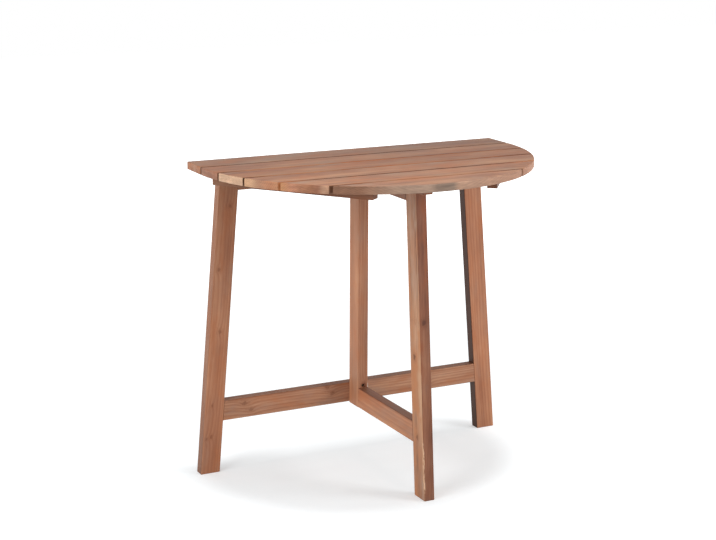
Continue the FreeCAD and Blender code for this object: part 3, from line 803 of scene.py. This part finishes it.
def add_screw(work, points):
    """One screw on a solid's own outline, with a cross recess sunk in its head."""
    line, out, profile = screw_outline(points)
    part = bmesh.new()
    rings = [ring_of(part, radius, height) for height, radius in profile if radius > ISLAND_MERGE]
    for first, second in zip(rings, rings[1:]):
        join_rings(part, first, second)
    part.faces.new(reversed(rings[0]))
    top, head = profile[-1]
    arm, half = head * RECESS_ARM_SHARE, head * RECESS_WIDTH_SHARE
    mouth = cross_of(part, arm, half, top)
    depth = head * RECESS_DEPTH_SHARE
    floor = cross_of(part, arm * RECESS_ARM_TAPER, half * RECESS_WIDTH_TAPER, top - depth)
    join_rings(part, floor, mouth)
    part.faces.new(floor)
    edges = []
    for loop in (rings[-1], mouth):
        for pair in zip(loop[-1:] + loop[:-1], loop):
            edges.append(part.edges.get(pair) or part.edges.new(pair))
    bmesh.ops.triangle_fill(part, edges=edges, use_beauty=True)
    bmesh.ops.recalc_face_normals(part, faces=part.faces)
    turn = out.to_track_quat("Z", "Y").to_matrix().to_4x4()
    part.transform(Matrix.Translation(line) @ turn)
    piece = bpy.data.meshes.new("screw_part")
    part.to_mesh(piece)
    part.free()
    work.from_mesh(piece)
    bpy.data.meshes.remove(piece)


def make_screws(node, material):
    """A node's screws with recessed heads, in the node's place."""
    work = bmesh.new()
    for points in islands_of(node):
        add_screw(work, points)
    mesh = bpy.data.meshes.new(f"{node}_detail")
    work.to_mesh(mesh)
    work.free()
    mesh.materials.append(material)
    mesh.shade_smooth()
    mesh.set_sharp_from_angle(angle=SMOOTH_ANGLE)
    piece = bpy.data.objects.new(f"{node}_detail", mesh)
    bpy.context.scene.collection.objects.link(piece)
    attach(piece, NODES[node]["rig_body"])
    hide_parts(node)


def white_to_camera(tree, output, shader):
    """Shows a shader to the lighting, and plain white to the camera and to reflections."""
    path = tree.nodes.new("ShaderNodeLightPath")
    seen = path.outputs["Is Camera Ray"]
    for name in ("Is Glossy Ray", "Is Transmission Ray"):
        either = tree.nodes.new("ShaderNodeMath")
        either.operation = "MAXIMUM"
        tree.links.new(seen, either.inputs[0])
        tree.links.new(path.outputs[name], either.inputs[1])
        seen = either.outputs[0]
    white = tree.nodes.new("ShaderNodeBackground")
    white.inputs["Color"].default_value = (1.0, 1.0, 1.0, 1.0)
    choice = tree.nodes.new("ShaderNodeMixShader")
    tree.links.new(seen, choice.inputs[0])
    tree.links.new(shader, choice.inputs[1])
    tree.links.new(white.outputs[0], choice.inputs[2])
    tree.links.new(choice.outputs[0], output)


def make_world():
    world = bpy.data.worlds.new("studio")
    world.use_nodes = True
    tree = world.node_tree
    back = tree.nodes["Background"]
    back.inputs["Color"].default_value = (1.0, 1.0, 1.0, 1.0)
    back.inputs["Strength"].default_value = WORLD_STRENGTH
    white_to_camera(tree, tree.nodes["World Output"].inputs["Surface"], back.outputs[0])
    bpy.context.scene.world = world


def make_floor():
    """A pale floor that glows a little, so that it is white where the light is whole."""
    half = FLOOR_HALF_SIZE
    mesh = bpy.data.meshes.new("floor")
    corners = ((-half, -half, 0), (half, -half, 0), (half, half, 0), (-half, half, 0))
    mesh.from_pydata(corners, [], [(0, 1, 2, 3)])
    tree = Tree("floor_paper")
    coordinates = tree.add("ShaderNodeTexCoord")
    grain, _ = tree.noise(coordinates.outputs["Object"], *FLOOR_NOISE)
    path = tree.add("ShaderNodeLightPath")
    seen = tree.math("MAXIMUM", path.outputs["Is Camera Ray"], path.outputs["Is Glossy Ray"])
    seen = tree.math("MAXIMUM", seen, path.outputs["Is Transmission Ray"])
    level = tree.spread(grain, NOISE_LOW, NOISE_HIGH, FLOOR_DULL_REFLECTANCE, FLOOR_REFLECTANCE)
    tinted = tree.mix(1.0, level, FLOOR_SEEN_TINT, "MULTIPLY")
    tree.feed(tree.shader.inputs["Base Color"], tree.mix(seen, level, tinted))
    tree.shader.inputs["Roughness"].default_value = 1.0
    tree.shader.inputs["Specular IOR Level"].default_value = 0.0
    tree.shader.inputs["Emission Color"].default_value = (1.0, 1.0, 1.0, 1.0)
    distance = tree.vector("LENGTH", coordinates.outputs["Object"])
    glow = tree.spread(distance, FLOOR_GLOW_NEAR, FLOOR_GLOW_FAR, FLOOR_NEAR_GLOW, FLOOR_FAR_GLOW)
    tree.feed(tree.shader.inputs["Emission Strength"], tree.math("MULTIPLY", seen, glow))
    mesh.materials.append(tree.material)
    floor = bpy.data.objects.new("floor", mesh)
    bpy.context.scene.collection.objects.link(floor)


def make_sun(name, towards, spread, strength):
    light = bpy.data.lights.new(name, "SUN")
    light.angle = spread
    light.energy = strength
    lamp = bpy.data.objects.new(name, light)
    lamp.rotation_euler = Vector(towards).to_track_quat("-Z", "Y").to_euler()
    bpy.context.scene.collection.objects.link(lamp)


def make_light(name, place, aim, size, power):
    light = bpy.data.lights.new(name, "AREA")
    light.shape = "RECTANGLE"
    light.size, light.size_y = size
    light.energy = power
    lamp = bpy.data.objects.new(name, light)
    lamp.location = place
    lamp.rotation_euler = (Vector(aim) - Vector(place)).to_track_quat("-Z", "Y").to_euler()
    bpy.context.scene.collection.objects.link(lamp)


def make_camera():
    camera = bpy.data.cameras.new("camera")
    camera.sensor_fit = "HORIZONTAL"
    camera.sensor_width = SENSOR_WIDTH
    camera.lens = CAMERA_LENS
    level = math.cos(CAMERA_PITCH)
    across = math.sin(CAMERA_YAW) * level
    ahead = math.cos(CAMERA_YAW) * level
    forward = Vector((across, ahead, math.sin(CAMERA_PITCH)))
    holder = bpy.data.objects.new("camera", camera)
    holder.location = CAMERA_PLACE
    roll = Matrix.Rotation(CAMERA_ROLL, 3, "Z").to_quaternion()
    holder.rotation_euler = (forward.to_track_quat("-Z", "Y") @ roll).to_euler()
    bpy.context.scene.collection.objects.link(holder)
    bpy.context.scene.camera = holder


for name, board in BOARDS.items():
    dress(name, stained_wood(name, board))
dowel_wood = raw_wood("dowel_wood")
for name in DOWEL_NODES:
    dress(name, dowel_wood)
hinge_steel = plated_steel("hinge_steel", *HINGE_STEEL)
screw_steel = plated_steel("screw_steel", *SCREW_STEEL)
for name in NODES:
    if "_hinge_" in name and name not in SCREW_NODES:
        dress(name, hinge_steel)
for name in SCREW_NODES:
    make_screws(name, screw_steel)

make_world()
make_floor()
make_sun("overhead", *OVERHEAD)
make_light("left_box", *LEFT_BOX)
make_light("right_box", *RIGHT_BOX)
make_camera()
bpy.context.scene.view_settings.view_transform = "Standard"
